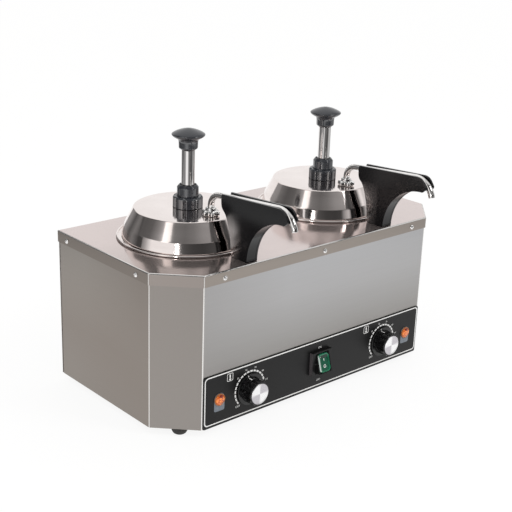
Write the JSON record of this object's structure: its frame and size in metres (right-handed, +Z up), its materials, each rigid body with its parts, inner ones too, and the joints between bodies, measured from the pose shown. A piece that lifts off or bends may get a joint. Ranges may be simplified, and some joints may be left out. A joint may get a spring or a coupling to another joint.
{
  "type": "hot fudge topping warmer",
  "caption": "Counter-top warmer with lift-out jars in heated wells, lids with hand pumps and bent spouts, dials and a rocker switch on the front.",
  "frame": {"origin": "on the floor under the middle of the whole object's box", "axes": "+X to the object's right as seen from its front, -Y towards the front where the spouts and dials are, +Z up"},
  "size_m": [0.5, 0.3262, 0.3612],
  "materials": {
    "stainless_brushed": "brushed stainless sheet",
    "stainless_polished": "mirror polished stainless",
    "stainless_plain": "plain drawn stainless",
    "tube_polished": "polished stainless tube",
    "chrome_bright": "bright chrome",
    "panel_black": "satin charcoal overlay",
    "switch_black": "moulded black",
    "rocker_green": "translucent green",
    "lamp_amber": "translucent amber",
    "lamp_bezel": "pale moulded rim",
    "knob_black": "satin black",
    "knob_cap": "spun aluminium",
    "shroud_black": "gloss black",
    "pump_slate": "satin slate",
    "rod_polished": "polished stainless rod",
    "rubber_black": "matt rubber",
    "phenolic": "brown moulding",
    "steel": "plain steel",
    "element_sheath": "dull sheath",
    "nylon": "natural nylon"
  },
  "bodies": {
    "root": {"cabinet_body": "stainless_brushed", "top_cover": "stainless_brushed", "rear_panel": "stainless_brushed", "base_plate": "stainless_brushed", "foot_front_left": "rubber_black", "foot_front_right": "rubber_black", "foot_rear_left": "rubber_black", "foot_rear_right": "rubber_black", "control_panel": "panel_black", "switch_housing": "switch_black", "rocker_pin": "steel", "cable_bushing": "rubber_black", "terminal_block": "nylon", "thermostat_left": "phenolic", "indicator_lamp_left": "lamp_bezel", "lamp_lens_left": "lamp_amber", "well_left": "stainless_plain", "heating_element_left": "element_sheath", "thermostat_right": "phenolic", "indicator_lamp_right": "lamp_bezel", "lamp_lens_right": "lamp_amber", "well_right": "stainless_plain", "heating_element_right": "element_sheath"},
    "rocker": {"switch_rocker": "switch_black", "rocker_lens": "rocker_green"},
    "dial_left": {"temperature_knob_left": "knob_black", "knob_cap_left": "knob_cap", "thermostat_shaft_left": "steel"},
    "jar_left": {"jar_left": "stainless_polished"},
    "lid_left": {"lid_left": "stainless_polished", "pump_cylinder_left": "stainless_plain", "lock_nut_left": "pump_slate", "guide_collar_left": "pump_slate", "pump_foot_left": "pump_slate", "riser_tube_left": "stainless_plain", "spout_tube_left": "tube_polished", "spout_shroud_left": "shroud_black"},
    "plunger_left": {"plunger_knob_left": "pump_slate", "plunger_rod_left": "rod_polished", "piston_left": "nylon", "return_spring_left": "steel"},
    "union_left": {"union_nut_left": "chrome_bright"},
    "dial_right": {"temperature_knob_right": "knob_black", "knob_cap_right": "knob_cap", "thermostat_shaft_right": "steel"},
    "jar_right": {"jar_right": "stainless_polished"},
    "lid_right": {"lid_right": "stainless_polished", "pump_cylinder_right": "stainless_plain", "lock_nut_right": "pump_slate", "guide_collar_right": "pump_slate", "pump_foot_right": "pump_slate", "riser_tube_right": "stainless_plain", "spout_tube_right": "tube_polished", "spout_shroud_right": "shroud_black"},
    "plunger_right": {"plunger_knob_right": "pump_slate", "plunger_rod_right": "rod_polished", "piston_right": "nylon", "return_spring_right": "steel"},
    "union_right": {"union_nut_right": "chrome_bright"}
  },
  "joints": [
    {"name": "rocker_turn", "type": "hinge", "parent": "root", "child": "rocker", "pos_m": [0, -0.0956, 0.0495], "axis": [1, 0, 0], "range_deg": [0, 33]},
    {"name": "dial_turn_left", "type": "hinge", "parent": "root", "child": "dial_left", "pos_m": [-0.1245, -0.09061, 0.046], "axis": [0, 1, 0], "range_deg": [0, 210]},
    {"name": "jar_lift_left", "type": "slide", "parent": "root", "child": "jar_left", "axis": [0, 0, 1], "range_m": [0, 0.16]},
    {"name": "lid_lift_left", "type": "slide", "parent": "jar_left", "child": "lid_left", "axis": [0, 0, 1], "range_m": [0, 0.135]},
    {"name": "plunger_stroke_left", "type": "slide", "parent": "lid_left", "child": "plunger_left", "axis": [0, 0, -1], "range_m": [0, 0.044], "stiffness_N_per_m": 300, "springref_m": -0.03, "deforming": ["return_spring_left"]},
    {"name": "union_turn_left", "type": "hinge", "parent": "lid_left", "child": "union_left", "pos_m": [-0.1235, -0.00401, 0.2627], "axis": [0, 0, 1], "range_deg": [0, 360]},
    {"name": "dial_turn_right", "type": "hinge", "parent": "root", "child": "dial_right", "pos_m": [0.1245, -0.09061, 0.046], "axis": [0, 1, 0], "range_deg": [0, 210]},
    {"name": "jar_lift_right", "type": "slide", "parent": "root", "child": "jar_right", "axis": [0, 0, 1], "range_m": [0, 0.16]},
    {"name": "lid_lift_right", "type": "slide", "parent": "jar_right", "child": "lid_right", "axis": [0, 0, 1], "range_m": [0, 0.135]},
    {"name": "plunger_stroke_right", "type": "slide", "parent": "lid_right", "child": "plunger_right", "axis": [0, 0, -1], "range_m": [0, 0.044], "stiffness_N_per_m": 300, "springref_m": -0.03, "deforming": ["return_spring_right"]},
    {"name": "union_turn_right", "type": "hinge", "parent": "lid_right", "child": "union_right", "pos_m": [0.1235, -0.00401, 0.2627], "axis": [0, 0, 1], "range_deg": [0, 360]}
  ]
}
